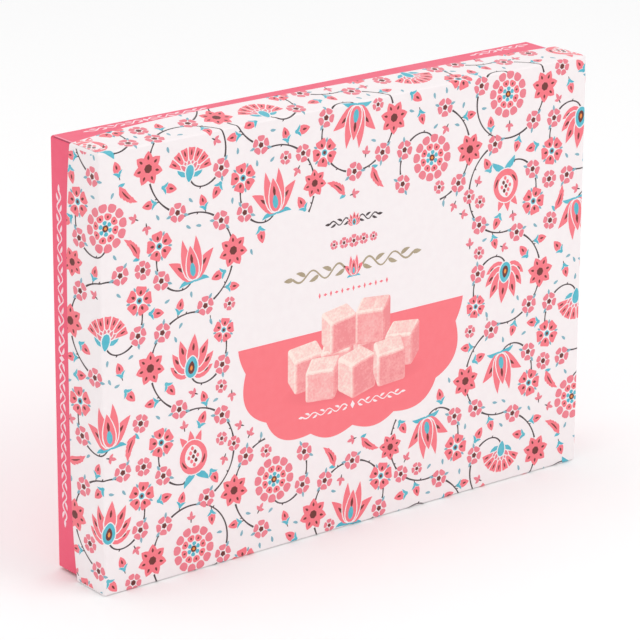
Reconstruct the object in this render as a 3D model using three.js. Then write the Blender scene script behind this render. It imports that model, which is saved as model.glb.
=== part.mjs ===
import * as THREE from 'three';

// A shut gift box for sweets, standing on one of its long sides: a shallow lid of folded board is
// pushed over the base that holds the sweets. Millimetres, +Z up. X runs along the width, the lid's
// face looks towards -Y, and the origin is the middle of the whole box on the surface it stands on.

// Whole box
const WIDTH = 240;
const HEIGHT = 175;
const DEPTH = 34.5;
const FIT_GAP = 0.3;

// Lid: four walls folded back from the face, which spread a little towards the rim
const LID_DEPTH = 18.8;
const BOARD = 0.6;
const LID_FOLD_RADIUS = 1.1;
const LID_CORNER_RADIUS = 1.3;
const SIDE_BOW = 2.2;
const TOP_BOW = 2.3;
const TOP_BOW_LEAN = 0.35; // the top wall spreads more near its left end than near its right end
const BOW_FLATNESS = 4;
const BOW_GROWTH = 1.2;

// Base: as high as the space between the lid's top and bottom walls, with slack at its two ends
const BASE_SIDE_SLACK = 1.7;
const BASE_FOLD_RADIUS = 0.7;
const BASE_CORNER_RADIUS = 1.0;

// Facets
const ARC_STEPS = 3;
const WALL_STEPS = 5;
const LONG_SIDE_STEPS = 24;
const SHORT_SIDE_STEPS = 16;

const FACE_Y = -DEPTH / 2;

// How far a wall stands out at the share s of its length: nothing at the corners, and a long even
// stretch between them. lean moves the spread towards the wall's start or its end.
function bowAt(s, amount, lean) {
  return amount * (1 - (2 * s - 1) ** BOW_FLATNESS) * (1 + lean * Math.cos(Math.PI * s));
}

// A closed outline across the box at depth y, anticlockwise as seen from the front: along the
// bottom, up the right side, back along the top and down the left side, with a round corner after
// each. spread is the share of the walls' full bow that this outline has.
function outline({ left, right, bottom, top, radius, y, spread = 0 }) {
  const points = [];
  const sides = [
    { from: [left, bottom], to: [right, bottom], steps: LONG_SIDE_STEPS, amount: 0, lean: 0 },
    { from: [right, bottom], to: [right, top], steps: SHORT_SIDE_STEPS, amount: SIDE_BOW, lean: 0 },
    { from: [right, top], to: [left, top], steps: LONG_SIDE_STEPS, amount: TOP_BOW, lean: -TOP_BOW_LEAN },
    { from: [left, top], to: [left, bottom], steps: SHORT_SIDE_STEPS, amount: SIDE_BOW, lean: 0 },
  ];
  for (const side of sides) {
    const from = new THREE.Vector2(...side.from);
    const to = new THREE.Vector2(...side.to);
    const along = to.clone().sub(from).normalize();
    const outward = new THREE.Vector2(along.y, -along.x);
    const straight = from.distanceTo(to) - 2 * radius;
    for (let step = 0; step <= side.steps; step += 1) {
      const s = step / side.steps;
      const point = from.clone().addScaledVector(along, radius + straight * s);
      point.addScaledVector(outward, spread * bowAt(s, side.amount, side.lean));
      points.push(new THREE.Vector3(point.x, y, point.y));
    }
    const centre = to.clone().addScaledVector(along, -radius).addScaledVector(outward, -radius);
    for (let step = 1; step < ARC_STEPS; step += 1) {
      const angle = (step / ARC_STEPS) * (Math.PI / 2);
      const point = centre.clone();
      point.addScaledVector(outward, radius * Math.cos(angle));
      point.addScaledVector(along, radius * Math.sin(angle));
      points.push(new THREE.Vector3(point.x, y, point.y));
    }
  }
  return points;
}

// A closed body from outlines that have the same number of points: a skin between each two, and a
// fan over the first and the last.
function loft(outlines) {
  const count = outlines[0].length;
  const positions = outlines.flat().flatMap((point) => point.toArray());
  const triangles = [];
  for (let row = 0; row < outlines.length - 1; row += 1) {
    for (let column = 0; column < count; column += 1) {
      const next = (column + 1) % count;
      const a = row * count + column;
      const b = row * count + next;
      const c = (row + 1) * count + next;
      const d = (row + 1) * count + column;
      triangles.push(a, c, b, a, d, c);
    }
  }
  const lastRow = (outlines.length - 1) * count;
  const firstMiddle = positions.length / 3;
  positions.push(...middleOf(outlines[0]));
  positions.push(...middleOf(outlines.at(-1)));
  for (let column = 0; column < count; column += 1) {
    const next = (column + 1) % count;
    triangles.push(firstMiddle, column, next);
    triangles.push(firstMiddle + 1, lastRow + next, lastRow + column);
  }
  const geometry = new THREE.BufferGeometry();
  geometry.setAttribute('position', new THREE.Float32BufferAttribute(positions, 3));
  geometry.setIndex(triangles);
  geometry.computeVertexNormals();
  return geometry;
}

function middleOf(points) {
  return new THREE.Box3().setFromPoints(points).getCenter(new THREE.Vector3()).toArray();
}

// The lid's outline at one depth behind its face, moved in from the outer skin by inset.
function lidOutline(inset, depth) {
  return outline({
    left: -WIDTH / 2 + inset,
    right: WIDTH / 2 - inset,
    bottom: inset,
    top: HEIGHT - inset,
    radius: LID_CORNER_RADIUS - inset,
    y: FACE_Y + depth,
    spread: (depth / LID_DEPTH) ** BOW_GROWTH,
  });
}

// One closed skin: over the fold at the face, back along the outside of the walls, round the rim
// and forward along the inside to the back of the face.
function lidGeometry() {
  const rimRadius = BOARD / 2;
  const rimCentre = LID_DEPTH - rimRadius;
  const outlines = [];
  for (let step = 0; step <= ARC_STEPS; step += 1) {
    const angle = (step / ARC_STEPS) * (Math.PI / 2);
    const inset = LID_FOLD_RADIUS * (1 - Math.sin(angle));
    outlines.push(lidOutline(inset, LID_FOLD_RADIUS * (1 - Math.cos(angle))));
  }
  for (let step = 1; step < WALL_STEPS; step += 1) {
    outlines.push(lidOutline(0, THREE.MathUtils.lerp(LID_FOLD_RADIUS, rimCentre, step / WALL_STEPS)));
  }
  for (let step = 0; step <= 2 * ARC_STEPS; step += 1) {
    const angle = (step / ARC_STEPS) * (Math.PI / 2);
    outlines.push(lidOutline(rimRadius * (1 - Math.cos(angle)), rimCentre + rimRadius * Math.sin(angle)));
  }
  for (let step = 1; step <= WALL_STEPS; step += 1) {
    outlines.push(lidOutline(BOARD, THREE.MathUtils.lerp(rimCentre, BOARD, step / WALL_STEPS)));
  }
  return loft(outlines);
}

// The base's outline, moved in from its own skin by inset at the folds of its front and back.
function baseOutline(inset, y) {
  const halfWidth = WIDTH / 2 - BOARD - BASE_SIDE_SLACK;
  return outline({
    left: -halfWidth + inset,
    right: halfWidth - inset,
    bottom: BOARD + FIT_GAP + inset,
    top: HEIGHT - BOARD - FIT_GAP - inset,
    radius: BASE_CORNER_RADIUS - inset,
    y,
  });
}

// A block with rounded folds, from just behind the lid's face to the back of the box.
function baseGeometry() {
  const frontY = FACE_Y + BOARD + FIT_GAP;
  const backY = DEPTH / 2;
  const outlines = [];
  for (let step = 0; step <= ARC_STEPS; step += 1) {
    const angle = (step / ARC_STEPS) * (Math.PI / 2);
    const inset = BASE_FOLD_RADIUS * (1 - Math.sin(angle));
    outlines.push(baseOutline(inset, frontY + BASE_FOLD_RADIUS * (1 - Math.cos(angle))));
  }
  for (let step = 0; step <= ARC_STEPS; step += 1) {
    const angle = (step / ARC_STEPS) * (Math.PI / 2);
    const inset = BASE_FOLD_RADIUS * (1 - Math.cos(angle));
    outlines.push(baseOutline(inset, backY - BASE_FOLD_RADIUS * (1 - Math.sin(angle))));
  }
  return loft(outlines);
}

function piece(name, geometry, colour, roughness) {
  const material = new THREE.MeshStandardMaterial({ color: colour, roughness, metalness: 0 });
  const mesh = new THREE.Mesh(geometry, material);
  mesh.name = name;
  return mesh;
}

const box = new THREE.Group();
box.add(piece('lid', lidGeometry(), 0xf4f0f0, 0.4));
box.add(piece('base', baseGeometry(), 0xfd7c96, 0.4));

export default box;
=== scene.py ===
# %% [markdown]
# # A shut gift box of sweets, from bare board to printed box
#
# The object is a shallow lid of folded board pushed over a closed base, standing on one long side.
# Its sizes are settled in a solid model, which this lesson loads and dresses: first the camera and
# the light, then the board, then the print, one ink at a time.

# %% Load the solid model
import bisect
import math
import random

import bmesh
import bpy
from mathutils import Matrix, Vector


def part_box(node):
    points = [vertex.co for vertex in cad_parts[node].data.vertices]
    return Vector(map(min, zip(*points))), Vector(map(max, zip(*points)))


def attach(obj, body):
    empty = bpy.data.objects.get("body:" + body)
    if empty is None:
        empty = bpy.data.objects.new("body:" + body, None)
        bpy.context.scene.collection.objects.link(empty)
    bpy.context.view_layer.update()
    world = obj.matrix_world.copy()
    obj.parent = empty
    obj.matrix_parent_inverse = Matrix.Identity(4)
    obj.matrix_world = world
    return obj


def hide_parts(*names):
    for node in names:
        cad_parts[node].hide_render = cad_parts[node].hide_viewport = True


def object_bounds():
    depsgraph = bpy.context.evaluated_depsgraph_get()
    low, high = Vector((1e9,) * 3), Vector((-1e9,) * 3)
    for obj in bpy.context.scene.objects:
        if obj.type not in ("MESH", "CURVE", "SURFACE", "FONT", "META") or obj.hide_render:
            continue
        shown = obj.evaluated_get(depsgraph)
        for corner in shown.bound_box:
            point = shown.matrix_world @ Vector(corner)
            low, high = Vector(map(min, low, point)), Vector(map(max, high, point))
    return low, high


MM = 0.001

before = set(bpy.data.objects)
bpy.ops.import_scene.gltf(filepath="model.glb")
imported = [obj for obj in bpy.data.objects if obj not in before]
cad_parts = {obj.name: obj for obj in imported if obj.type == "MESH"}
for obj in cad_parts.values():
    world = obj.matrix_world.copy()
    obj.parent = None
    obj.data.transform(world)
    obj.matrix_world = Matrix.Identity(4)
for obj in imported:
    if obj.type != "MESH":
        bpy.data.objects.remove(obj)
cad_low, cad_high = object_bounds()
print("solid box, mm:", [round((high - low) / MM, 2) for low, high in zip(cad_low, cad_high)])

# %% [markdown]
# ## Camera and light
#
# A flat front with parallel folds shows every error of angle, so the camera comes first. It stands
# well back with a long lens, to the left of the box and above it, and sees the face, the left end
# and the top at once.

# %% Camera
CAMERA_PLACE = Vector((-812.3, -1027.6, 526.9)) * MM
CAMERA_TURN = math.radians(-38.22)
CAMERA_TILT = math.radians(-18.76)
CAMERA_ROLL = math.radians(0.31)
LENS_MM = 196.6
SENSOR_MM = 36

lens = bpy.data.cameras.new("camera")
lens.lens = LENS_MM
lens.sensor_width = SENSOR_MM
camera = bpy.data.objects.new("camera", lens)
aim = Matrix.Rotation(CAMERA_TURN, 4, "Z") @ Matrix.Rotation(math.pi / 2 + CAMERA_TILT, 4, "X")
camera.matrix_world = Matrix.Translation(CAMERA_PLACE) @ aim @ Matrix.Rotation(CAMERA_ROLL, 4, "Z")
bpy.context.scene.collection.objects.link(camera)
bpy.context.scene.camera = camera
print("camera stands", round(CAMERA_PLACE.length, 2), "m from the box")

# %% [markdown]
# The light is that of a small product studio: a broad soft lamp to the front right, a weaker one to
# the left, and a bright even surrounding that a pale floor sends back up. Broad lamps keep the
# shadows soft and give satin board its long quiet highlights along the folds. The Standard view
# keeps a printed colour as it was mixed, where the default one would wash it out.

# %% Surroundings and lamps
SURROUND_STRENGTH = 0.78
LAMPS = {
    "key_lamp": {"place": (0.9, -1.5, 1.5), "size": 1.3, "power": 8.6},
    "fill_lamp": {"place": (-1.8, -0.5, 0.9), "size": 1.4, "power": 2, "colour": (1, 0.92, 0.95)},
    "top_lamp": {"place": (-0.2, 0.3, 1.9), "size": 1.2, "power": 6.5},
}

bpy.context.scene.view_settings.view_transform = "Standard"
world = bpy.data.worlds.new("studio")
world.use_nodes = True
surround = world.node_tree.nodes["Background"]
surround.inputs["Color"].default_value = (1, 1, 1, 1)
surround.inputs["Strength"].default_value = SURROUND_STRENGTH
bpy.context.scene.world = world

target = Vector((0, 0, cad_high.z / 2))
for name, lamp in LAMPS.items():
    light = bpy.data.lights.new(name, "AREA")
    light.size = lamp["size"]
    light.energy = lamp["power"]
    light.color = lamp.get("colour", (1, 1, 1))
    holder = bpy.data.objects.new(name, light)
    holder.location = lamp["place"]
    holder.rotation_euler = (target - holder.location).to_track_quat("-Z", "Y").to_euler()
    bpy.context.scene.collection.objects.link(holder)
print("lamps:", ", ".join(LAMPS))

# %% [markdown]
# ## Materials
#
# Every printed surface here is the same thing: white coated folding board, printed in a flat colour
# and sealed with a thin satin varnish. Only the ink differs. So one function makes the board with
# its varnish, and each finish names an ink. Pulp fibres press through the coating as a faint grain
# about half a millimetre wide, the sheet itself is never quite flat, and an ink lies a touch
# heavier in some places than in others. Object coordinates carry all of it, so that the grain runs
# on from board to ink without a break.

# %% A colour, a node and a printed board


def linear(hex_colour, alpha=1.0):
    """An sRGB colour such as "F48892" as the linear values that Blender's sockets hold."""
    shares = [int(hex_colour[i : i + 2], 16) / 255 for i in (0, 2, 4)]
    return *(s / 12.92 if s <= 0.04045 else ((s + 0.055) / 1.055) ** 2.4 for s in shares), alpha


def add_node(tree, kind, settings=None, inputs=None):
    """Adds one node. An input is a value, or another node's output to link."""
    made = tree.nodes.new(kind)
    for name, value in (settings or {}).items():
        setattr(made, name, value)
    for name, value in (inputs or {}).items():
        if isinstance(value, bpy.types.NodeSocket):
            tree.links.new(value, made.inputs[name])
        else:
            made.inputs[name].default_value = value
    return made


FIBRE_MM = 0.5  # several fibres wide: a single one, of a few hundredths, would not show
INK_MOTTLE_MM = 3.5
VARNISH_PATCH_MM = 11.25
SHEET_WAVE_MM = 45
FIBRE_HEIGHT_MM = 0.03
SHEET_WAVE_HEIGHT_MM = 0.6
SATIN = 0.36  # the roughness of a satin varnish
DULL = 0.5  # and of board that is rubbed or was never varnished
ROUGHNESS_SWING = 0.06
VARNISH_IOR = 1.5


def per_metre(size_mm):
    """A noise scale whose spots are about this many millimetres wide."""
    return 1 / (size_mm * MM)


def varnished_board(name, ink, lighter, roughness=SATIN, mottle=0.5):
    """Coated board under one flat ink and a satin varnish. lighter is the ink where it lies thin."""
    material = bpy.data.materials.new(name)
    material.use_nodes = True
    tree = material.node_tree
    shader = tree.nodes["Principled BSDF"]
    place = add_node(tree, "ShaderNodeTexCoord").outputs["Object"]

    def noise(size_mm, detail):
        inputs = {"Vector": place, "Scale": per_metre(size_mm), "Detail": detail}
        return add_node(tree, "ShaderNodeTexNoise", inputs=inputs).outputs["Fac"]

    thin = add_node(
        tree,
        "ShaderNodeMapRange",
        inputs={
            "Value": noise(INK_MOTTLE_MM, 4.0),
            "From Min": 0.35,
            "From Max": 0.75,
            "To Max": mottle,
        },
    )
    colour = add_node(
        tree,
        "ShaderNodeMix",
        {"data_type": "RGBA"},
        {"Factor": thin.outputs["Result"], 6: linear(ink), 7: linear(lighter)},
    )
    varnish = add_node(
        tree,
        "ShaderNodeMapRange",
        inputs={
            "Value": noise(VARNISH_PATCH_MM, 3.0),
            "To Min": roughness - ROUGHNESS_SWING,
            "To Max": roughness + ROUGHNESS_SWING,
        },
    )
    wave = add_node(
        tree,
        "ShaderNodeBump",
        inputs={
            "Height": noise(SHEET_WAVE_MM, 1.0),
            "Strength": 0.35,
            "Distance": SHEET_WAVE_HEIGHT_MM * MM,
        },
    )
    grain = add_node(
        tree,
        "ShaderNodeBump",
        inputs={
            "Height": noise(FIBRE_MM, 2.0),
            "Strength": 0.22,
            "Distance": FIBRE_HEIGHT_MM * MM,
            "Normal": wave.outputs["Normal"],
        },
    )
    tree.links.new(colour.outputs[2], shader.inputs["Base Color"])
    tree.links.new(varnish.outputs["Result"], shader.inputs["Roughness"])
    tree.links.new(grain.outputs["Normal"], shader.inputs["Normal"])
    shader.inputs["IOR"].default_value = VARNISH_IOR
    return material


FIELD_CORAL = "F9757E"
INKS = {
    "bare": varnished_board("white_coated_board", "F5EDEE", "F9F3F3"),
    "coral": varnished_board("coral_ink", "F6737F", "F9848F"),
    "rose": varnished_board("soft_rose_ink", "EC7988", "F18E9A"),
    "teal": varnished_board("teal_ink", "45B4C8", "7CCAD6"),
    "mist": varnished_board("grey_teal_ink", "78ACBC", "9CC3CE"),
    "brown": varnished_board("brown_ink", "66201A", "78302A"),
    "twig": varnished_board("dark_ink", "3C2C30", "5A4A4E"),
    "orange": varnished_board("orange_ink", "F5892C", "F9A65C"),
    "field": varnished_board("coral_field_ink", FIELD_CORAL, "FB7F87", mottle=0.4),
    "gold": varnished_board("bronze_gold_ink", "A8977B", "C2B59C"),
    "white": varnished_board("white_ink", "F9EDEE", "FBF2F2"),
    "pale": varnished_board("pale_pink_ink", "FBDCE3", "FDE8EC"),
    # This pale pink is partly coating rubbed off the fold and partly a painted highlight along it.
    "rubbed_and_highlight": varnished_board("rubbed_ink_and_painted_highlight", "F8A3B6", "FBB9C8", roughness=DULL),
    # The tab's dark rose is painted shade: the shadow inside the crease, laid on as ink.
    "tab_shade": varnished_board("tab_painted_shade_ink", "A83A56", "B84A64", roughness=DULL),
    "base": varnished_board("base_coral_ink", "F24F71", "F6607F", mottle=0.35),
}
print("inks:", ", ".join(INKS))

# %% [markdown]
# ## The floor
#
# A plain pale sweep, so that the box has something to stand on and something to send light back
# from below.

# %% Floor
FLOOR_HALF = 4.0

floor_sheet = bmesh.new()
bmesh.ops.create_grid(floor_sheet, x_segments=1, y_segments=1, size=FLOOR_HALF)
floor_mesh = bpy.data.meshes.new("floor")
floor_sheet.to_mesh(floor_mesh)
floor_sheet.free()
floor = bpy.data.objects.new("floor", floor_mesh)
floor_paint = bpy.data.materials.new("matt_white_paint")
floor_paint.use_nodes = True
floor_paint.node_tree.nodes["Principled BSDF"].inputs["Base Color"].default_value = linear("FFFFFF")
floor_paint.node_tree.nodes["Principled BSDF"].inputs["Roughness"].default_value = 0.9
floor_mesh.materials.append(floor_paint)
bpy.context.scene.collection.objects.link(floor)

# %% [markdown]
# ## The lid's board
#
# A lid like this is cut flat and folded, so the lesson treats it the same way. On the flat sheet,
# the face is a rectangle and each wall is a strip beyond it. How far a spot lies outside the
# rectangle says how far it has gone round the fold and down the wall. One function answers that for
# the board and for every ink, which is why they can't drift apart. All of it is in millimetres, and
# the sheet's own middle is the middle of the face.
#
# The walls spread a little towards the rim, as a full lid's do, and the same function adds that.

# %% From the flat sheet to the folded lid
lid_low, lid_high = (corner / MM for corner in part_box("lid"))

WIDTH = 240
HEIGHT = 175
BOARD = 0.6
FOLD_RADIUS = 1.1
SKIN = 0.12  # the board lies this far inside the solid, which leaves room for the inks
SIDE_SPREAD = 2.2
TOP_SPREAD = 2.3
TOP_LEAN = 0.35
SPREAD_FLATNESS = 4
SPREAD_GROWTH = 1.2

LID_DEPTH = lid_high.y - lid_low.y
HALF_FACE = Vector((WIDTH / 2 - FOLD_RADIUS, HEIGHT / 2 - FOLD_RADIUS))
RIM_RADIUS = (BOARD - SKIN) / 2
RIM_DEPTH = LID_DEPTH - SKIN - RIM_RADIUS
FOLD_LENGTH = FOLD_RADIUS * math.pi / 2
WALL_LENGTH = RIM_DEPTH - FOLD_RADIUS
RIM_LENGTH = RIM_RADIUS * math.pi / 2
SHEET_REACH = FOLD_LENGTH + WALL_LENGTH + RIM_LENGTH


def section_at(distance, lift=0.0):
    """How far out and how deep the sheet is, this far past the face and lift above the board."""
    if distance < FOLD_LENGTH:
        turn = distance / FOLD_RADIUS
        radius = FOLD_RADIUS - SKIN + lift
        return radius * math.sin(turn), FOLD_RADIUS - radius * math.cos(turn)
    if distance < FOLD_LENGTH + WALL_LENGTH:
        return FOLD_RADIUS - SKIN + lift, FOLD_RADIUS + distance - FOLD_LENGTH
    turn = (distance - FOLD_LENGTH - WALL_LENGTH) / RIM_RADIUS
    middle = FOLD_RADIUS - SKIN - RIM_RADIUS
    radius = RIM_RADIUS + lift
    return middle + radius * math.cos(turn), RIM_DEPTH + radius * math.sin(turn)


def spread_at(nearest, away, depth):
    """How far the lid's wall stands out beyond a straight one, at this depth behind the face."""
    growth = (max(depth, 0) / LID_DEPTH) ** SPREAD_GROWTH
    if abs(away.x) > abs(away.y):
        share = (nearest.y / HALF_FACE.y + 1) / 2
        amount, lean = SIDE_SPREAD, 0
    else:
        share = (nearest.x / HALF_FACE.x + 1) / 2
        amount, lean = (TOP_SPREAD if away.y > 0 else 0), TOP_LEAN
    bulge = 1 - abs(2 * share - 1) ** SPREAD_FLATNESS
    return growth * amount * bulge * (1 + lean * math.cos(math.pi * share))


def nearest_on_face(spot):
    """The spot of the flat face that this spot of the sheet is closest to."""
    return Vector(max(-half, min(half, value)) for value, half in zip(spot, HALF_FACE))


def folded(spot, lift=0.0):
    """Where a spot of the flat sheet lies on the folded lid, in millimetres."""
    nearest = nearest_on_face(spot)
    away = spot - nearest
    out, depth = section_at(away.length, lift)
    away.normalize()
    flat = nearest + away * (out + spread_at(nearest, away, depth))
    return Vector((flat.x, lid_low.y + depth, flat.y + HEIGHT / 2))


print("the sheet runs", round(SHEET_REACH, 2), "mm past the face on each side")

# %% [markdown]
# The board itself is a chain of edges, the wall's cross-section, carried once round the face:
# extruded along each side and spun round each corner. The chain runs over the fold, down the
# outside, round the rim and back up the inside, so that the lid is one closed shell. Two faces
# then close it, and the spread is given to the finished shell point by point.

# %% The lid's board
FOLD_STEPS = 8
WALL_STEPS = 12
RIM_STEPS = 3
LONG_STEPS = 80
SHORT_STEPS = 60


def even_steps(start, end, count):
    """Evenly spaced values from start to end, both included."""
    return [start + (end - start) * step / count for step in range(count + 1)]


FOLD_LINES = even_steps(0, FOLD_LENGTH, FOLD_STEPS)
WALL_LINES = even_steps(FOLD_LENGTH, FOLD_LENGTH + WALL_LENGTH, WALL_STEPS)
RIM_LINES = even_steps(FOLD_LENGTH + WALL_LENGTH, SHEET_REACH, RIM_STEPS)
SHEET_LINES = FOLD_LINES + WALL_LINES[1:] + RIM_LINES[1:]


def wall_section():
    """The lid's wall as (out, depth), from the face round the rim to the inside of the face."""
    points = [section_at(distance) for distance in SHEET_LINES]
    middle = FOLD_RADIUS - SKIN - RIM_RADIUS
    for step in range(1, RIM_STEPS + 1):
        turn = math.pi / 2 * (1 + step / RIM_STEPS)
        points.append((middle + RIM_RADIUS * math.cos(turn), RIM_DEPTH + RIM_RADIUS * math.sin(turn)))
    points += [(FOLD_RADIUS - BOARD, depth) for depth in even_steps(RIM_DEPTH, BOARD, WALL_STEPS)[1:]]
    return points


def carried_round(shell, section, half_size, front, middle_z, corner_steps):
    """Sweeps a chain of edges round a rectangle that stands in the plane y = front."""
    corner = Vector((-half_size.x, front, middle_z - half_size.y))
    chain = [shell.verts.new(corner + Vector((0, depth, -out))) for out, depth in section]
    edges = [shell.edges.new(pair) for pair in zip(chain, chain[1:])]
    along = Vector((1, 0, 0))
    quarter = Matrix.Rotation(-math.pi / 2, 3, "Y")
    for length, steps in 2 * ((2 * half_size.x, LONG_STEPS), (2 * half_size.y, SHORT_STEPS)):
        for _ in range(steps):
            grown = bmesh.ops.extrude_edge_only(shell, edges=edges)["geom"]
            verts = [item for item in grown if isinstance(item, bmesh.types.BMVert)]
            edges = [item for item in grown if isinstance(item, bmesh.types.BMEdge)]
            edges = [edge for edge in edges if all(vert in verts for vert in edge.verts)]
            bmesh.ops.translate(shell, vec=along * length / steps, verts=verts)
        corner += along * length
        turned = bmesh.ops.spin(
            shell,
            geom=verts + edges,
            cent=corner,
            axis=(0, -1, 0),
            angle=math.pi / 2,
            steps=corner_steps,
        )["geom_last"]
        edges = [item for item in turned if isinstance(item, bmesh.types.BMEdge)]
        along = quarter @ along
    bmesh.ops.remove_doubles(shell, verts=shell.verts, dist=0.001)


def open_loops_closed(shell):
    """Closes each open loop with one flat face, and turns all the faces outwards."""
    rims = [edge for edge in shell.edges if edge.is_boundary]
    bmesh.ops.holes_fill(shell, edges=rims, sides=0)
    bmesh.ops.recalc_face_normals(shell, faces=shell.faces)


SHARP_ANGLE = math.radians(40)


def as_piece(shell, name, finish):
    """Makes a bmesh in millimetres a piece of the box, in metres."""
    bmesh.ops.scale(shell, vec=Vector((MM, MM, MM)), verts=shell.verts)
    mesh = bpy.data.meshes.new(name)
    shell.to_mesh(mesh)
    shell.free()
    mesh.materials.append(finish)
    mesh.set_sharp_from_angle(angle=SHARP_ANGLE)
    piece = bpy.data.objects.new(name, mesh)
    piece.modifiers.new("even_shading", "WEIGHTED_NORMAL").keep_sharp = True
    bpy.context.scene.collection.objects.link(piece)
    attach(piece, "root")
    print(name, "has", len(mesh.polygons), "faces")
    return piece


lid_shell = bmesh.new()
carried_round(lid_shell, wall_section(), HALF_FACE, lid_low.y, HEIGHT / 2, FOLD_STEPS)
open_loops_closed(lid_shell)
for vert in lid_shell.verts:
    spot = Vector((vert.co.x, vert.co.z - HEIGHT / 2))
    nearest = nearest_on_face(spot)
    away = (spot - nearest).normalized()
    spread = away * spread_at(nearest, away, vert.co.y - lid_low.y)
    vert.co += Vector((spread.x, 0, spread.y))
lid_board = as_piece(lid_shell, "lid_board", INKS["bare"])
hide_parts("lid")

# %% [markdown]
# ## The base's board
#
# The base is a closed carton that fills the lid, so a block with its folds rounded by two bevels
# is its whole form: one on the four edges that run from front to back, and a tighter one round the
# front and the back. A carton's side panels are glued to tabs, which leaves a narrow crease just
# inside each of the four edges. Three cuts side by side make it, and sinking the middle one opens
# a notch; the upper two later get a dark strip, the tab coloured as painted shade for the crease's
# shadow. One more cut across ends it short of the back.

# %% The base's board
BASE_CORNER = 1.0
BASE_FOLD = 0.7
CORNER_SEGMENTS = 6
CREASE_INSET = 0.42
CREASE_HALF = 0.26
CREASE_DEPTH = 0.9
CREASE_STOP = 3.6  # how far short of the back it ends
CUT_SLACK = 0.1

base_low, base_high = (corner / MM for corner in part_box("base"))
base_back = base_high.y - SKIN


def edges_along(shell, axis):
    """The straight edges that run along one axis."""
    return [e for e in shell.edges if abs((e.verts[0].co - e.verts[1].co).normalized()[axis]) > 0.99]


def cut_across(shell, place, normal):
    """Cuts every face where it crosses a plane, without taking anything away."""
    whole = shell.verts[:] + shell.edges[:] + shell.faces[:]
    bmesh.ops.bisect_plane(shell, geom=whole, plane_co=place, plane_no=normal)


base_shell = bmesh.new()
base_size = Vector((base_high.x - base_low.x, base_back - base_low.y, base_high.z - base_low.z))
middle = base_low + base_size / 2
block = Matrix.Translation(middle) @ Matrix.Diagonal((*base_size, 1))
bmesh.ops.create_cube(base_shell, size=1, matrix=block)
bevel = {"affect": "EDGES", "offset_type": "OFFSET", "profile": 0.5, "material": -1}
bmesh.ops.bevel(
    base_shell, geom=edges_along(base_shell, 1), offset=BASE_CORNER, segments=CORNER_SEGMENTS, **bevel
)
ends = [e for e in base_shell.edges if abs(e.verts[0].co.y - e.verts[1].co.y) < 0.001]
bmesh.ops.bevel(base_shell, geom=ends, offset=BASE_FOLD, segments=CORNER_SEGMENTS, **bevel)
cut_across(base_shell, (0, base_back - CREASE_STOP, 0), (0, 1, 0))
for side in (-1, 1):
    crease = middle.x + side * (base_size.x / 2 - CREASE_INSET)
    for offset in (-CREASE_HALF, 0, CREASE_HALF):
        cut_across(base_shell, (crease + offset, 0, 0), (1, 0, 0))
    for vert in base_shell.verts:
        up = vert.co.z - middle.z
        outermost = abs(up) > base_size.z / 2 - BASE_CORNER
        outermost = outermost and vert.co.y < base_back - CREASE_STOP + CUT_SLACK
        if abs(vert.co.x - crease) < CREASE_HALF / 2 and outermost:
            vert.co.z -= math.copysign(CREASE_DEPTH, up)
base_board = as_piece(base_shell, "base_board", INKS["base"])
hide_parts("base")

# %% [markdown]
# ## The print: a flat sheet for each ink
#
# A press lays one flat colour at a time on the unfolded sheet, each from a plate of its own. Here
# every ink is one bmesh on the same flat sheet, in millimetres, and everything drawn is a disc from
# one operator whose rim is moved into a petal, a leaf or a seed. The film that it becomes is far
# thicker than real ink and still far too thin to see, and it is sunk a little into the board so
# that nothing floats.

# %% Petals, discs and twigs on the flat sheet
PRINTED_INKS = ("twig", "bare", "rose", "coral", "teal", "mist", "brown", "orange")
SHEETS = {ink: bmesh.new() for ink in PRINTED_INKS}
STEM_COAT = 0.026  # millimetres above the board
STEM_STEP = 0.001
STEM_COATS = 8
FIRST_COAT = 0.036
COAT = 0.0028  # the step from one coat to the next
COATS = 28  # the most that one motif may have
stems_laid = 0
coats_laid = 0
STRAIGHT = 1e-6  # a curl this small is a straight petal
EDGE = 0.045  # the bare margin round a petal that lies over another, on a flower of radius one


def at(spot, turn=0.0, size=1.0):
    """A place on the sheet: where a motif's middle goes, which way it points, and its size."""
    return Matrix.Translation((*spot[:2], 0)) @ Matrix.Rotation(turn, 4, "Z") @ Matrix.Scale(size, 4)


def turned(place, share, out=0.0):
    """The same place turned by a share of a whole turn, then moved out along its new direction."""
    return place @ Matrix.Rotation(2 * math.pi * share, 4, "Z") @ Matrix.Translation((out, 0, 0))


def stem_coat():
    """The height of the next piece of stem: under all the flowers, and never that of the last piece."""
    global stems_laid
    stems_laid = (stems_laid + 1) % STEM_COATS
    return STEM_COAT + STEM_STEP * stems_laid


def next_coat():
    """The height of the next shape: whatever is drawn later in a motif lies on top."""
    global coats_laid
    coats_laid += 1
    if coats_laid > COATS:
        raise ValueError("a motif has more coats than the sheet has room for")
    return FIRST_COAT + COAT * coats_laid


def on_petal(place, start, length, curl, share):
    """The place on a petal's middle line, this share of the way from its foot to its point."""
    bend = curl * share
    spot = Vector((start + length * math.sin(bend) / curl, length * (1 - math.cos(bend)) / curl, 0))
    return place @ Matrix.Translation(spot) @ Matrix.Rotation(bend, 4, "Z")


def petal(
    ink, place, start, length, width, base=0.5, tip=0.9, curl=STRAIGHT, notch=0.0, sides=14, coat=None
):
    """A petal along the place's x axis. An end is round at 0.5, pointed near 1 and blunt under 0.4."""
    widest = base / (base + tip)
    full = widest**base * (1 - widest) ** tip
    height = coat or next_coat()
    for vert in bmesh.ops.create_circle(SHEETS[ink], cap_ends=True, segments=sides, radius=1)["verts"]:
        share = min(1, max(0, (1 + vert.co.x) / 2))
        half = math.copysign(width / 2, vert.co.y) * share**base * (1 - share) ** tip / full
        dent = notch * length * max(0, vert.co.x) ** 8
        spot = on_petal(place, start, length, curl, share) @ Vector((-dent, half, 0))
        vert.co = (*spot.xy, height)


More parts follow.
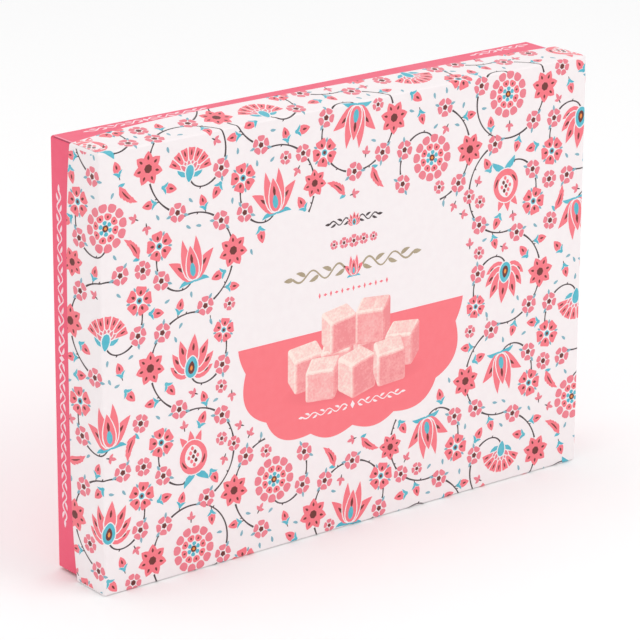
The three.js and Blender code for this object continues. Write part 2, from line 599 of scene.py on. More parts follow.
def disc(ink, place, radius, sides=10):
    """A round spot, or with few sides a pip."""
    rim = bmesh.ops.create_circle(SHEETS[ink], cap_ends=True, segments=sides, radius=radius, matrix=place)
    bmesh.ops.translate(SHEETS[ink], vec=(0, 0, next_coat()), verts=rim["verts"])


def edged(ink, place, start, length, width, *ends, **shape):
    """A petal with a narrow margin of bare board, for one that lies over another."""
    petal("bare", place, start - EDGE, length + 2 * EDGE, width + 2.4 * EDGE, *ends, **shape)
    petal(ink, place, start, length, width, *ends, **shape)


def veined(
    ink, place, start, length, width, *ends, vein=(0.35, 0.65), draw=petal, curl=STRAIGHT, **shape
):
    """A petal with a dark drop on its middle line, between two shares of its length."""
    draw(ink, place, start, length, width, *ends, curl=curl, **shape)
    share = vein[1] - vein[0]
    drop = on_petal(place, start, length, curl, vein[0])
    petal("brown", drop, 0, share * length, 0.24 * width, 0.6, 0.9, curl=curl * share, sides=8)


def ring(count, place, draw, start=0.0, spread=1.0):
    """Calls draw(place) for each of a ring's places, or for a fan's where spread is under 1.

    Only neighbours can touch, so every other petal has the same coats, and an odd last one its own.
    """
    global coats_laid
    below = coats_laid
    coats_each = 0
    for step in range(count):
        share = step / count if spread == 1 else (step / (count - 1) - 0.5) * spread
        group = 2 if spread == 1 and count % 2 and step == count - 1 else step % 2
        coats_laid = below + group * coats_each
        draw(turned(place, start + share))
        coats_each = coats_each or coats_laid - below
    coats_laid = below + 3 * coats_each


TWIG_STEP = 0.9
PATH_NUDGE = 0.001


def heading(path, progress):
    """The direction of a path, as an angle."""
    along = path(progress + PATH_NUDGE) - path(progress - PATH_NUDGE)
    return math.atan2(along.y, along.x)


def twig(path, start, end, width=0.84, ink="twig", coat=None):
    """A stem along path from start to end, thick where it leaves a flower and thin half way."""
    steps = max(3, round((path(end) - path(start)).length / TWIG_STEP))
    height = coat or next_coat()
    for vert in bmesh.ops.create_grid(SHEETS[ink], x_segments=steps, y_segments=1, size=1)["verts"]:
        here = start + (end - start) * (1 + vert.co.x) / 2
        half = width / 2 * (0.65 + 0.35 * vert.co.x**2) * vert.co.y
        turn = heading(path, here)
        spot = path(here) + half * Vector((-math.sin(turn), math.cos(turn)))
        vert.co = (*spot, height)


# %% [markdown]
# ## The flowers
#
# The flowers are stock figures of Ottoman tile and book painting, each built from a few petals
# round a middle: the small blossom, the seven-pointed star, the wild rose, the toothed saz leaf, and
# five larger heads, a rosette, a tulip, a fan-shaped carnation, a pomegranate and a lotus. Each is
# drawn at a radius of one, and its place gives it its size. Narrow gaps of bare board between petals
# do the work of outlines. Small flowers take a quieter pink than the heads, which gives the print
# its depth.

# %% Small flowers, buds and leaves


def blossom(place, petals=5):
    """A small flower with blunt notched petals round a dark eye."""
    width = 1.5 * math.sin(math.pi / petals) - 0.04
    ring(petals, place, lambda p: petal("rose", p, 0.35, 0.65, width, 0.5, 0.34, notch=0.12, sides=10))
    disc("brown", place, 0.3, sides=petals)


def full_blossom(place):
    """A blossom with one petal more."""
    blossom(place, 6)


def leafy_blossom(place):
    """A blossom with two leaves that show between its petals."""
    for share in (0.1, 0.5):
        petal("mist", turned(place, share), 0.66, 0.5, 0.25, 0.6, 0.9, sides=8)
    blossom(place @ Matrix.Scale(0.86, 4))


def bud(place):
    """A closed flower between two leaves, pointing along x."""
    foot = place @ Matrix.Translation((-0.8, 0, 0))
    veined("coral", foot, 0.1, 1.75, 1.1, 0.6, 0.9, vein=(0.4, 0.74), sides=14)
    for side in (-1, 1):
        edged("teal", turned(foot, 0.085 * side), -0.05, 0.95, 0.36, 0.5, 1.0, curl=0.8 * side, sides=12)
    disc("teal", foot, 0.24)


def leaflet(place):
    """One small leaf."""
    petal("mist", place, -0.95, 1.9, 0.85, 0.6, 0.9, curl=0.5, sides=10)


def sprig(place):
    """A stalk with a leaf on each side and one at its end."""
    petal("twig", place, -1.0, 0.9, 0.24, 0.5, 0.5, sides=6)
    fork = place @ at((-0.4, 0))
    for side in (-1, 1):
        petal("rose", turned(fork, 0.13 * side), 0.04, 0.95, 0.55, 0.6, 0.9, curl=0.5 * side, sides=10)
    petal("rose", place, -0.1, 1.1, 0.6, 0.6, 0.9, sides=10)


def saz_leaf(place):
    """A long curved leaf with a toothed edge and a dark rib."""
    foot = place @ at((-0.9, -0.36))
    length, curl = 2.1, 0.85
    petal("teal", turned(foot, 0.16, -0.1), 0, 0.6, 0.28, 0.6, 0.9, curl=0.8, sides=10)
    petal("coral", foot, 0, length, 0.52, 0.7, 1.0, curl=curl, sides=18)
    for step in range(4):
        tooth = on_petal(foot, 0, length, curl, 0.12 + 0.17 * step)
        for side in (-1, 1):
            root = turned(tooth, 0.11 * side)
            petal("coral", root, 0, 0.7 - 0.1 * step, 0.28, 0.6, 1.0, curl=-0.5 * side, sides=10)
    rib = on_petal(foot, 0, length, curl, 0.2)
    petal("brown", rib, 0, 1.0, 0.12, 0.8, 0.9, curl=curl / length, sides=12)


def star_flower(place):
    """Seven pointed petals with a dark drop on each."""
    disc("coral", place, 0.54, sides=14)

    def ray(p):
        veined("coral", p, 0.22, 0.8, 0.64, 0.7, 1.0, vein=(0.36, 0.7), sides=12)

    ring(7, place, ray)
    disc("brown", place, 0.27, sides=7)


def wild_rose(place):
    """Five broad petals round an eye, with the tips of small leaves between them."""

    def broad(p):
        veined("coral", p, 0.28, 0.72, 0.8, 0.55, 0.3, vein=(0.15, 0.55), notch=0.16, sides=14)

    ring(5, place, broad)
    ring(5, place, lambda p: petal("mist", p, 0.66, 0.32, 0.16, 0.7, 0.9, sides=6), start=0.1)
    disc("teal", place, 0.21, sides=10)
    disc("brown", place, 0.13, sides=6)


# %% [markdown]
# The heads are what the eye finds first, five of them so that no two neighbours need be alike. Each
# is laid from the outside in, because a later coat hides an earlier one: a ring or a pair of petals,
# then the next over their feet, and last the middle. Where one coral petal lies on another, a
# margin of bare board under it keeps them apart, as a tile painter's outline would.

# %% The five larger heads


def rosette(place):
    """A round flower: a ring of close petals round a teal flower with an orange middle."""
    ring(12, place, lambda p: petal("rose", p, 0.64, 0.36, 0.4, 0.42, 0.3, sides=12))

    def inner(p):
        veined("coral", p, 0.33, 0.28, 0.35, 0.5, 0.3, vein=(0.3, 0.75))

    ring(8, place, inner, start=0.5 / 8)
    ring(6, place, lambda p: petal("teal", p, 0.13, 0.19, 0.2, 0.8, 0.5, sides=8))
    disc("brown", place, 0.15, sides=6)
    disc("orange", place, 0.07, sides=6)


def tulip(place):
    """Long pointed petals, the outer pair curling one way and the inner pair the other."""
    foot = place @ at((-0.9, 0))
    for side in (-1, 1):
        petal("teal", turned(foot, 0.18 * side), -0.02, 0.8, 0.22, 0.6, 0.9, curl=1.1 * side, sides=12)
        outer = turned(foot, 0.1 * side)
        veined("coral", outer, 0.1, 1.45, 0.58, 0.45, 1.0, vein=(0.4, 0.66), curl=0.35 * side)
    for side in (-1, 1):
        inner = turned(foot, 0.055 * side)
        edged("coral", inner, 0.1, 1.78, 0.54, 0.45, 1.0, curl=-0.36 * side, sides=18)
    edged("coral", foot, 0.08, 1.42, 0.58, 0.45, 0.9, sides=18)
    petal("teal", foot, 0.2, 0.62, 0.28, 0.6, 0.8, sides=10)
    petal("brown", foot, 0.74, 0.42, 0.14, 0.7, 0.9, sides=8)


def carnation(place):
    """A fan of toothed petals out of a slim cup."""
    cup = place @ at((-0.55, 0))
    for side in (-1, 1):
        petal("teal", turned(cup, 0.3 * side), 0.05, 0.62, 0.22, 0.6, 0.9, curl=-1.2 * side, sides=10)

    def ray(p):
        veined("coral", p, 0.32, 0.83, 0.32, 1.0, 0.16, vein=(0.5, 0.8), notch=0.12, sides=16)

    ring(7, cup, ray, spread=0.36)
    ring(6, cup, lambda p: edged("rose", p, 0.16, 0.4, 0.18, 0.7, 0.8, sides=8), spread=0.3)
    edged("teal", cup, -0.34, 0.7, 0.38, 0.7, 0.45, sides=12)


def pomegranate(place):
    """A cut fruit: a rind with rows of seeds in it, and a crown on top."""
    foot = place @ at((-0.85, 0))
    for side in (-1, 1):
        petal("teal", turned(foot, 0.28 * side), 0.0, 0.8, 0.3, 0.6, 0.9, curl=0.9 * side, sides=10)
    ring(3, place, lambda p: edged("coral", p, 0.3, 0.74, 0.34, 0.5, 1.0, sides=12), spread=0.17)
    edged("coral", foot, 0.0, 1.46, 1.36, 0.5, 0.55, sides=24)
    petal("bare", foot, 0.28, 0.98, 0.84, 0.5, 0.6, sides=20)
    for row, count in enumerate((1, 2, 3, 2, 1)):
        for seed in range(count):
            spot = Vector((-0.46 + 0.18 * row, (seed - (count - 1) / 2) * 0.22))
            ink = "brown" if (row + seed) % 2 else "coral"
            petal(ink, place @ at(spot), -0.09, 0.19, 0.16, 0.6, 0.7, sides=8)
    for side in (-1, 1):
        petal("brown", turned(foot, 0.13 * side), 0.5, 0.42, 0.09, 0.7, 0.9, curl=-0.6 * side, sides=8)


def lotus(place):
    """A pointed heart inside three tiers of petals that open like a cup."""
    heart = place @ at((-0.62, 0))
    tiers = ((0.26, 0.12, 1.0, -0.8), (0.175, 0.2, 1.14, -0.55), (0.09, 0.28, 1.26, -0.25))
    for share, start, length, curl in tiers:
        for side in (-1, 1):
            leaf = turned(heart, share * side)
            shape = {"draw": edged, "vein": (0.5, 0.76), "curl": curl * side, "sides": 16}
            veined("coral", leaf, start, length, 0.5, 0.5, 1.0, **shape)
    edged("coral", heart, 0.3, 1.32, 0.56, 0.5, 1.0, sides=16)
    edged("teal", heart, -0.2, 0.9, 0.6, 0.5, 0.6, sides=16)
    petal("brown", heart, -0.04, 0.54, 0.32, 0.5, 0.7, sides=12)
    petal("orange", heart, 0.1, 0.22, 0.13, 0.6, 0.7, sides=8)
    petal("brown", heart, 0.92, 0.32, 0.12, 0.6, 0.9, sides=8)


HEADS = (rosette, tulip, pomegranate, carnation, lotus)
print("heads:", ", ".join(head.__name__ for head in HEADS))

# %% [markdown]
# ## The middle panel
#
# The middle of the lid stays clear for a panel with a lobed outline, a shape that old bindings
# carry. One formula gives its radius in any direction: an ellipse with squared shoulders, swelled
# by lobes that meet in points. The flowers ask it how near they may come, and the coral field is
# cut to the same line later.

# %% The panel's outline
PANEL_HALF = Vector((59, 50))
PANEL_SHOULDER = 2.8
PANEL_LOBES = 14
LOBE_DEPTH = 0.055


def panel_radius(angle):
    """How far the panel's outline is from the middle in this direction, in millimetres."""
    shares = (abs(math.cos(angle)) / PANEL_HALF.x, abs(math.sin(angle)) / PANEL_HALF.y)
    plain = sum(share**PANEL_SHOULDER for share in shares) ** (-1 / PANEL_SHOULDER)
    return plain * (1 - LOBE_DEPTH + LOBE_DEPTH * abs(math.cos(PANEL_LOBES / 2 * angle)))


def off_panel(spot, room):
    """Whether a round motif of this radius keeps clear of the panel."""
    return spot.length > panel_radius(math.atan2(spot.y, spot.x)) + room


# %% [markdown]
# ## The scrolls
#
# The layout is a running scroll in half-drop repeat. Each column is a chain of spirals that turn
# alternately left and right, every one springing from the stem of the one above, with a large head
# in its eye and blossoms along its stem. The next column is shifted by half a step. Only half of the
# sheet is drawn: the plate is then turned half a turn and printed again, which gives the whole its
# balance. A list of what is taken keeps motifs apart, and nothing is drawn where there is no room.

# %% Room on the sheet
MOTIF_GAP = 0.55

taken = []
stem_spots = []


def is_free(spot, room):
    """Whether a motif of this radius fits here, and so does its copy half a turn round."""
    near = (min((spot - other).length, (spot + other).length) - reach for other, reach in taken)
    return 2 * spot.length > 2 * room + MOTIF_GAP and all(space > room + MOTIF_GAP for space in near)


def placed(motif, spot, turn, size, room=1.0):
    """Draws a motif if there is room for it, off the panel, and says whether it did."""
    global coats_laid
    if not (off_panel(spot, size * room) and is_free(spot, size * room)):
        return False
    coats_laid = 0
    taken.append((spot, size * room))
    motif(at(spot, turn, size))
    return True


# %% [markdown]
# A scroll's stem is one spiral: its radius eases as it goes round and then falls steeply, so that
# the stem hooks into its head. Flowers sit on it at set shares of its length, and buds stand off it
# on short stalks. Between two flowers goes the longest piece of stem that keeps clear of the rest,
# and only if it springs from one of them.

# %% One scroll
CELL = 39
SCROLL_START = 20.6
SCROLL_EASE = 4.4
SCROLL_HOOK = 5.5
STALK_HOOK = 2.4
SCROLL_END = 1.02
HEAD_RADIUS = 9.6
HEAD_ROOM = 0.98
FLOWER_ROOM = 0.95
STEM_ROOM = 0.5
STALK = 1.3
STALK_WIDTH = 0.5
TOUCH = 0.9  # a stem ends this share of the radius out from its flower's middle
BRANCH_TURN = 0.95
ON_STEM, OUTSIDE, INSIDE = 0, -1, 1
SMALL = ((leafy_blossom, 4.7), (blossom, 3.8), (full_blossom, 3.2))
MIDDLING = ((star_flower, 6.6), (star_flower, 5.6), (full_blossom, 4.4), (blossom, 3.2))
BROAD = ((wild_rose, 6.2), (wild_rose, 5.2), (leafy_blossom, 4.6), (blossom, 3.2))
BUDDING = ((bud, 3.2), (bud, 2.6), (leaflet, 1.5))
STEM_STOPS = (
    (0.25, ON_STEM, MIDDLING),
    (0.67, ON_STEM, BROAD),
    (0.05, ON_STEM, SMALL),
    (0.37, ON_STEM, SMALL),
    (0.5, ON_STEM, SMALL),
    (0.81, ON_STEM, SMALL),
    (0.13, OUTSIDE, BUDDING),
    (0.44, OUTSIDE, BUDDING),
    (0.58, INSIDE, BUDDING),
    (0.9, INSIDE, BUDDING),
)


def scroll(centre, way, head):
    """One spiral: its head, what grows on its stem and beside it, and the stem between them."""

    def radius_at(progress):
        share = max(0, progress)
        return SCROLL_START - SCROLL_EASE * progress - SCROLL_HOOK * share**5 - STALK_HOOK * share**24

    def path(progress):
        angle = math.pi / 2 + way * 2 * math.pi * progress
        return centre + radius_at(progress) * Vector((math.cos(angle), math.sin(angle)))

    inwards = centre - path(SCROLL_END)
    if not placed(head, centre, math.atan2(inwards.y, inwards.x), HEAD_RADIUS, HEAD_ROOM):
        return
    gaps = [(0, 0, False)]
    for stop, side, choices in STEM_STOPS:
        turn = heading(path, stop) + side * way * BRANCH_TURN
        for motif, size in choices:
            out = abs(side) * (STALK + size)
            spot = path(stop) + out * Vector((math.cos(turn), math.sin(turn)))
            if placed(motif, spot, turn, size, FLOWER_ROOM):
                if side == ON_STEM:
                    gaps.append((stop, TOUCH * size / (2 * math.pi * radius_at(stop)), True))
                else:
                    length = STALK + 0.3 * size
                    petal("twig", at(path(stop), turn), 0, length, STALK_WIDTH, sides=6, coat=stem_coat())
                break
    gaps.append((SCROLL_END, 0, True))
    gaps.sort()
    earlier = stem_spots[:]
    for near, far in zip(gaps, gaps[1:]):
        stem(path, near, far, earlier)


# %% The stems between the flowers
STEM_SAMPLES = 16
STEM_APART = 1.3
STEM_UNDER = 0.38
SHORTEST_STEM = 2.2
THORN_RUN = 6.0  # a stem longer than this has a thorn
THORN_TURN = 0.9
THORN_LENGTH = 1.2
THORN_WIDTH = 0.6


def stem_fits(spot, others):
    """Whether a stem may pass here: off the panel and other stems, and at most under a flower's edge."""
    apart = all((spot - other).length > STEM_APART for other in others)
    shares = (min((spot - place).length, (spot + place).length) / reach for place, reach in taken)
    return off_panel(spot, STEM_ROOM) and apart and all(share > 1 - STEM_UNDER for share in shares)


def stem(path, near, far, others):
    """The longest free run of stem between two flowers, if it springs from one of them."""
    start, end = near[0] + near[1], far[0] - far[1]
    runs = [[]]
    for step, share in enumerate(even_steps(start, end, STEM_SAMPLES) if end > start else ()):
        if stem_fits(path(share), others):
            runs[-1].append((step, share))
        else:
            runs.append([])
    run = max(runs, key=len)
    rooted = run and (near[2] and run[0][0] == 0 or far[2] and run[-1][0] == STEM_SAMPLES)
    if not rooted or (path(run[-1][1]) - path(run[0][1])).length < SHORTEST_STEM:
        return
    twig(path, run[0][1], run[-1][1], coat=stem_coat())
    if (path(run[-1][1]) - path(run[0][1])).length > THORN_RUN:
        share = run[len(run) // 2][1]
        thorn = at(path(share), heading(path, share) + THORN_TURN)
        petal("twig", thorn, 0, THORN_LENGTH, THORN_WIDTH, 0.6, 1.0, sides=6, coat=stem_coat())
    spots = [path(share) for step, share in run]
    taken.extend((spot, STEM_ROOM) for spot in spots)
    stem_spots.extend(spots)


# %% [markdown]
# The scrolls are placed first, then larger flowers in the pockets between them, and last whatever
# still fits: star flowers, leaves, blossoms, buds and sprigs at spots from a seeded draw, the
# largest kind first. The whole plate is then copied half a turn round.

# %% The whole layout
COLUMNS = 4
ROWS = 7
POCKET_ROWS = range(-4, 4)
POCKET_OUT = 0.375
FILL_SEED = 11
FILL_TRIES = 1800
ANY_TURN = 6.28
FILLERS = (
    (star_flower, 5.6, 1.05),
    (saz_leaf, 5.4, 0.85),
    (full_blossom, 4.0, 1.06),
    (bud, 3.5, 1.0),
    (blossom, 2.9, 1.08),
    (sprig, 2.5, 1.0),
    (leaflet, 1.4, 1.3),
)
POCKET_FLOWERS = (
    (saz_leaf, 5.6),
    (star_flower, 6.4),
    (wild_rose, 5.4),
    (saz_leaf, 4.6),
    (blossom, 3.8),
)

for column in range(COLUMNS):
    shift = CELL / 2 * (column % 2)
    for row in range(-ROWS // 2, ROWS // 2 + 1):
        centre = Vector((column * CELL, row * CELL + shift))
        if column == 0 and row < 0:
            continue
        way = 1 if (row + column) % 2 else -1
        scroll(centre, way, HEADS[(2 * column + 3 * row) % len(HEADS)])

draw = random.Random(FILL_SEED)
pockets = [
    Vector(((column + side * POCKET_OUT) * CELL, (row + 0.5 * (column % 2) + 0.5) * CELL))
    for column in range(COLUMNS)
    for row in POCKET_ROWS
    for side in (-1, 1)
]
for number, spot in enumerate(pockets):
    if spot.x > 0:
        for motif, size in POCKET_FLOWERS[number % 2 :]:
            if placed(motif, spot, draw.uniform(0, ANY_TURN), size, FLOWER_ROOM):
                break
half_sheet = HALF_FACE + Vector((SHEET_REACH, SHEET_REACH))
for motif, size, room in FILLERS:
    for _ in range(FILL_TRIES):
        spot = Vector((draw.uniform(0, half_sheet.x), draw.uniform(-half_sheet.y, half_sheet.y)))
        placed(motif, spot, draw.uniform(0, ANY_TURN), size, room)
for sheet in SHEETS.values():
    copy = bmesh.ops.duplicate(sheet, geom=sheet.verts[:] + sheet.edges[:] + sheet.faces[:])["geom"]
    verts = [item for item in copy if isinstance(item, bmesh.types.BMVert)]
    bmesh.ops.rotate(sheet, verts=verts, cent=(0, 0, 0), matrix=Matrix.Rotation(math.pi, 3, "Z"))
print(2 * len(taken), "places taken")
print("shapes:", {ink: len(sheet.faces) for ink, sheet in SHEETS.items()})
highest = max(vert.co.z for sheet in SHEETS.values() for vert in sheet.verts)
print("highest coat:", round(highest, 3), "mm above the board")

# %% [markdown]
# ## What the panel holds
#
# The lower half of the panel is a field of plain coral, cut to the same lobed line a little further
# in. Above it, and in white along its foot, run small vines where a box carries its words: each is
# one wavy stem mirrored about its middle, with a leaf in every hollow.

# %% The coral field
FIELD_MARGIN = 2.6
FIELD_TOP = -2.0
FIELD_POINTS = 420

SHEETS["field"] = bmesh.new()
rim = bmesh.ops.create_circle(SHEETS["field"], cap_ends=True, segments=FIELD_POINTS, radius=1)
for vert in rim["verts"]:
    angle = math.atan2(vert.co.y, vert.co.x)
    vert.co = (*(vert.co.xy * (panel_radius(angle) - FIELD_MARGIN)), FIRST_COAT)
whole = SHEETS["field"].verts[:] + SHEETS["field"].edges[:] + SHEETS["field"].faces[:]
bmesh.ops.bisect_plane(
    SHEETS["field"], geom=whole, plane_co=(0, FIELD_TOP, 0), plane_no=(0, 1, 0), clear_outer=True
)

# %% [markdown]
# One function draws every vine, in any ink and length. The rows stand one under another: a dark vine
# round a small lotus, a row of blossoms, a gold vine round a tulip, a row of pips, and on the coral
# field a white vine round a diamond.

# %% Small vines and pips
LEAF_LEAN = 0.75
CREST_LINE = 40.5
BLOSSOM_LINE = 31.8
BLOSSOM_SIZES = (2.0, 2.4, 2.8, 2.4, 2.0)
BLOSSOM_STEP = 4.9
TITLE_LINE = 21.5
PIP_LINE = 12.4
PIP_STEP = 2.8
PIPS_PER_SIDE = 6
FOOT_LINE = -36.0
FLOWER_RISE = 0.1

for ink in ("gold", "white"):
    SHEETS[ink] = bmesh.new()


def vine(ink, middle, gap, reach, height, waves, width, leaf):
    """Two wavy stems that run left and right from middle, with a leaf in every hollow."""
    coats = [next_coat() for _ in range(3)]
    for side in (-1, 1):

        def path(share):
            swing = height * (1 - 0.35 * share) * math.sin(math.pi * waves * share)
            return middle + Vector((side * (gap + (reach - gap) * share), swing))

        twig(path, 0, 1, width, ink, coats[0])
        ahead = 0 if side > 0 else math.pi
        for wave in range(waves):
            up = side if wave % 2 == 0 else -side
            hollow = at(path(wave / waves), ahead - LEAF_LEAN * up)
            coat = coats[1 + wave % 2]
            petal(ink, hollow, 0.4, leaf, leaf * 0.36, 0.6, 1.0, curl=0.7 * up, sides=12, coat=coat)
        coat = coats[1 + waves % 2]
        petal(ink, at(path(1), ahead), -0.2, leaf * 0.9, leaf * 0.4, 0.6, 1.0, sides=10, coat=coat)


def diamond(ink, spot, length, height):
    """A four-sided pip, longer than it is high or the other way round."""
    pip = at(spot) @ Matrix.Diagonal((length / 2, height / 2, 1, 1))
    disc(ink, pip, 1, sides=4)


coats_laid = 0
vine("twig", Vector((0, CREST_LINE)), 2.4, 12.0, 1.4, 3, 0.7, 2.8)
coats_laid = 0
lotus(at((0, CREST_LINE + FLOWER_RISE), math.pi / 2, 3.0))
for step, size in enumerate(BLOSSOM_SIZES):
    coats_laid = 0
    blossom(at((BLOSSOM_STEP * (step - 2), BLOSSOM_LINE), math.pi / 2, size))
vine("gold", Vector((0, TITLE_LINE)), 4.4, 30.0, 2.6, 4, 0.95, 5.0)
coats_laid = 0
tulip(at((0, TITLE_LINE + FLOWER_RISE), math.pi / 2, 4.6))
for step in range(-PIPS_PER_SIDE, PIPS_PER_SIDE + 1):
    coats_laid = 0
    length, height = (1.9, 1.2) if step % 2 else (1.1, 2.4)
    diamond("coral", (PIP_STEP * step, PIP_LINE), length, height)
vine("white", Vector((0, FOOT_LINE)), 2.6, 25.0, 1.2, 6, 0.6, 2.6)
diamond("white", (0, FOOT_LINE), 2.2, 3.4)
print("panel art drawn")

# %% [markdown]
# ## The sweets printed on the field
#
# The picture is a heap of sugar-dusted cubes. They are modelled as real cubes with their edges
# bevelled, heaped in two rows with two on top, then seen from a little above: turning the heap and
# pressing it flat gives each cube's outline and faces without drawing any of them. A value kept on
# each face says how much light it had, and the ink below turns that into a shade.

# %% A heap of cubes, pressed flat
SWEET = 15.0
SWEET_BEVEL = 1.3
SWEET_SEED = 5
VIEW_TILT = math.radians(24)
HEAP_FOOT = Vector((1.0, -28.5))
HEAP = (
    (-24.5, 15, 0, 14),
    (-8.5, 16, 0, -9),
    (8.0, 17, 0, 11),
    (24.0, 15, 0, -17),
    (-8.0, 12, 15, 21),
    (9.0, 13, 15, -13),
    (-16.0, -1, 0, -12),
    (1.0, -3, 0, 32),
    (17.5, 0, 0, 9),
)
SWEET_LIGHT = Vector((-0.62, -0.24, 0.75)).normalized()
SWEET_SIZES = (0.93, 1.04)  # the least and most of the nominal size
SWEET_LIFT = 0.004  # the first cube's height above the coral field
SWEET_COAT = 0.0012
DUST_EDGE = 0.18
SHADE_SWING = 0.08
EDGE_ON = 0.03  # a face turned this little to the viewer is left out


def merge_into(whole, part):
    """Adds one bmesh to another."""
    carrier = bpy.data.meshes.new("carrier")
    part.to_mesh(carrier)
    part.free()
    whole.from_mesh(carrier)
    bpy.data.meshes.remove(carrier)


sweets = bmesh.new()
sweets.loops.layers.float.new("tint")
to_view = Matrix.Rotation(VIEW_TILT - math.pi / 2, 3, "X")
draw = random.Random(SWEET_SEED)
for number, (across, back, up, turn) in enumerate(HEAP):
    sweet = bmesh.new()
    bmesh.ops.create_cube(sweet, size=SWEET)
    bmesh.ops.bevel(sweet, geom=sweet.edges[:], offset=SWEET_BEVEL, segments=3, **bevel)
    bmesh.ops.scale(sweet, vec=[draw.uniform(*SWEET_SIZES) for _ in range(3)], verts=sweet.verts)
    place = Matrix.Translation((across, back, up + SWEET / 2))
    place = place @ Matrix.Rotation(math.radians(turn), 4, "Z")
    bmesh.ops.transform(sweet, matrix=place, verts=sweet.verts)
    sweet.normal_update()
    layer = sweet.loops.layers.float.new("tint")
    own = draw.uniform(-SHADE_SWING, SHADE_SWING)
    for face in sweet.faces:
        lit = max(0, face.normal.dot(SWEET_LIGHT))
        edge = DUST_EDGE if face.calc_area() < SWEET else 0
        for loop in face.loops:
            loop[layer] = min(1, lit + edge + own)
    hidden = [face for face in sweet.faces if (to_view @ face.normal).z < EDGE_ON]
    bmesh.ops.delete(sweet, geom=hidden, context="FACES")
    height = FIRST_COAT + SWEET_LIFT + SWEET_COAT * number
    for vert in sweet.verts:
        vert.co = (*((to_view @ vert.co).xy + HEAP_FOOT), height)
    merge_into(sweets, sweet)
print("sweets:", len(HEAP), "cubes,", len(sweets.faces), "faces")

# %% [markdown]
# Under the heap lies a soft printed shadow: a round patch pressed to an oval, which keeps on each
# corner of its mesh how near it is to the middle. The ink deepens with that value and meets the
# plain field's own colour at the rim, so that no edge shows.

# %% The heap's soft shadow on the field
SHADOW_HALF = Vector((36, 7))
SHADOW_MIDDLE = HEAP_FOOT + Vector((0, 2))
SHADOW_LIFT = 0.002

shadow = bmesh.new()
depth = shadow.verts.layers.float.new("depth")
bmesh.ops.create_circle(shadow, cap_ends=True, cap_tris=True, segments=48, radius=1)
for vert in shadow.verts:
    vert[depth] = 1 - vert.co.length
    spot = vert.co.xy * SHADOW_HALF + SHADOW_MIDDLE
    vert.co = (*spot, FIRST_COAT + SHADOW_LIFT)
print("shadow:", 2 * SHADOW_HALF.x, "mm long")

# %% [markdown]
# Icing sugar lies on the cubes in cloudy patches and thickest along the edges, and jelly shows
# pink where it is thin. The two inks read the values stored on the mesh and let noise wander over
# them.

# %% The sweets' ink and the shadow's


def value_ink(name, value, shades, wanders=(), roughness=SATIN):
    """A printed shade looked up from a value on the mesh, which noises of several sizes sway."""
    material = bpy.data.materials.new(name)
    material.use_nodes = True
    tree = material.node_tree
    shader = tree.nodes["Principled BSDF"]
    stored = add_node(tree, "ShaderNodeAttribute", {"attribute_name": value}).outputs["Fac"]
    place = add_node(tree, "ShaderNodeTexCoord").outputs["Object"]
    total = stored
    for size_mm, swing in wanders:
        noise = add_node(
            tree, "ShaderNodeTexNoise", inputs={"Vector": place, "Scale": per_metre(size_mm), "Detail": 2.0}
        )
        wander = add_node(
            tree,
            "ShaderNodeMapRange",
            inputs={
                "Value": noise.outputs["Fac"],
                "From Min": 0.2,
                "From Max": 0.8,
                "To Min": -swing,
                "To Max": swing,
            },
        )
        terms = {0: total, 1: wander.outputs["Result"]}
        total = add_node(tree, "ShaderNodeMath", {"operation": "ADD"}, terms).outputs[0]
    ramp = add_node(tree, "ShaderNodeValToRGB", inputs={"Fac": total})
    steps = ramp.color_ramp.elements
    for step, (position, colour) in zip(steps, (shades[0], shades[-1])):
        step.position = position
        step.color = linear(colour)
    for position, colour in shades[1:-1]:
        steps.new(position).color = linear(colour)
    tree.links.new(ramp.outputs["Color"], shader.inputs["Base Color"])
    shader.inputs["Roughness"].default_value = roughness
    return material


def sugar_dusted_print():
    """Pink jelly where there is little sugar or light, and near white where there is much."""
    shades = ((0.0, "F08C90"), (0.25, "F8A3A3"), (0.5, "FABAB7"), (0.75, "FAD3CB"), (1.0, "FDEAE0"))
    return value_ink("sweets_ink", "tint", shades, ((4.0, 0.16), (0.8, 0.22)))


def shadow_ink():
    """The field's coral, deeper towards the middle of the patch."""
    shades = ((0.0, FIELD_CORAL), (0.55, "E96A74"), (1.0, "D95A66"))
    return value_ink("shadow_ink", "depth", shades)


sugar_ink = sugar_dusted_print()
heap_shadow_ink = shadow_ink()
print("looked-up inks:", sugar_ink.name, heap_shadow_ink.name)

# %% [markdown]
# ## Folding the print with the board
#
# Each ink sheet is now scored along the board's own lines by cutting it there, what lies past the
# rim or in the four corner squares is trimmed off, and the film is given its thickness. The board's
# walls are made of flat facets, and a film that followed the true curve would sink into one and
# float over the next by more than a coat is thick. So every point is laid on its facet, between the
# facet's four corners, and only the corners go through the function that folded the board.

# %% Scored, trimmed, thickened and folded
FILM_ROOT = 0.02
CUT_MERGE = 1e-5
FACET_LINES = [even_steps(-half, half, steps) for half, steps in zip(HALF_FACE, (LONG_STEPS, SHORT_STEPS))]


def verts_of(item):
    """A point itself, or the points of an edge or a face."""
    return [item] if isinstance(item, bmesh.types.BMVert) else item.verts


def thickened(sheet, root=FILM_ROOT):
    """Gives flat shapes their thickness, from this far inside the board up to each one's coat."""
    roots = sheet.verts[:]
    bmesh.ops.extrude_face_region(sheet, geom=sheet.faces[:], use_keep_orig=True)
    for vert in roots:
        vert.co.z = -root
    bmesh.ops.recalc_face_normals(sheet, faces=sheet.faces)


def scored(sheet, items, start, normal, lines, trimmed=False):
    """Cuts items of a sheet at these distances from start, and may trim off what is past the last."""
    for line in lines:
        cut = bmesh.ops.bisect_plane(
            sheet,
            geom=items,
            dist=CUT_MERGE,
            plane_co=start + normal * line,
            plane_no=normal,
            clear_outer=trimmed and line == lines[-1],
        )
        items = beyond([item for item in cut["geom"] if item.is_valid], start + normal * line, normal)


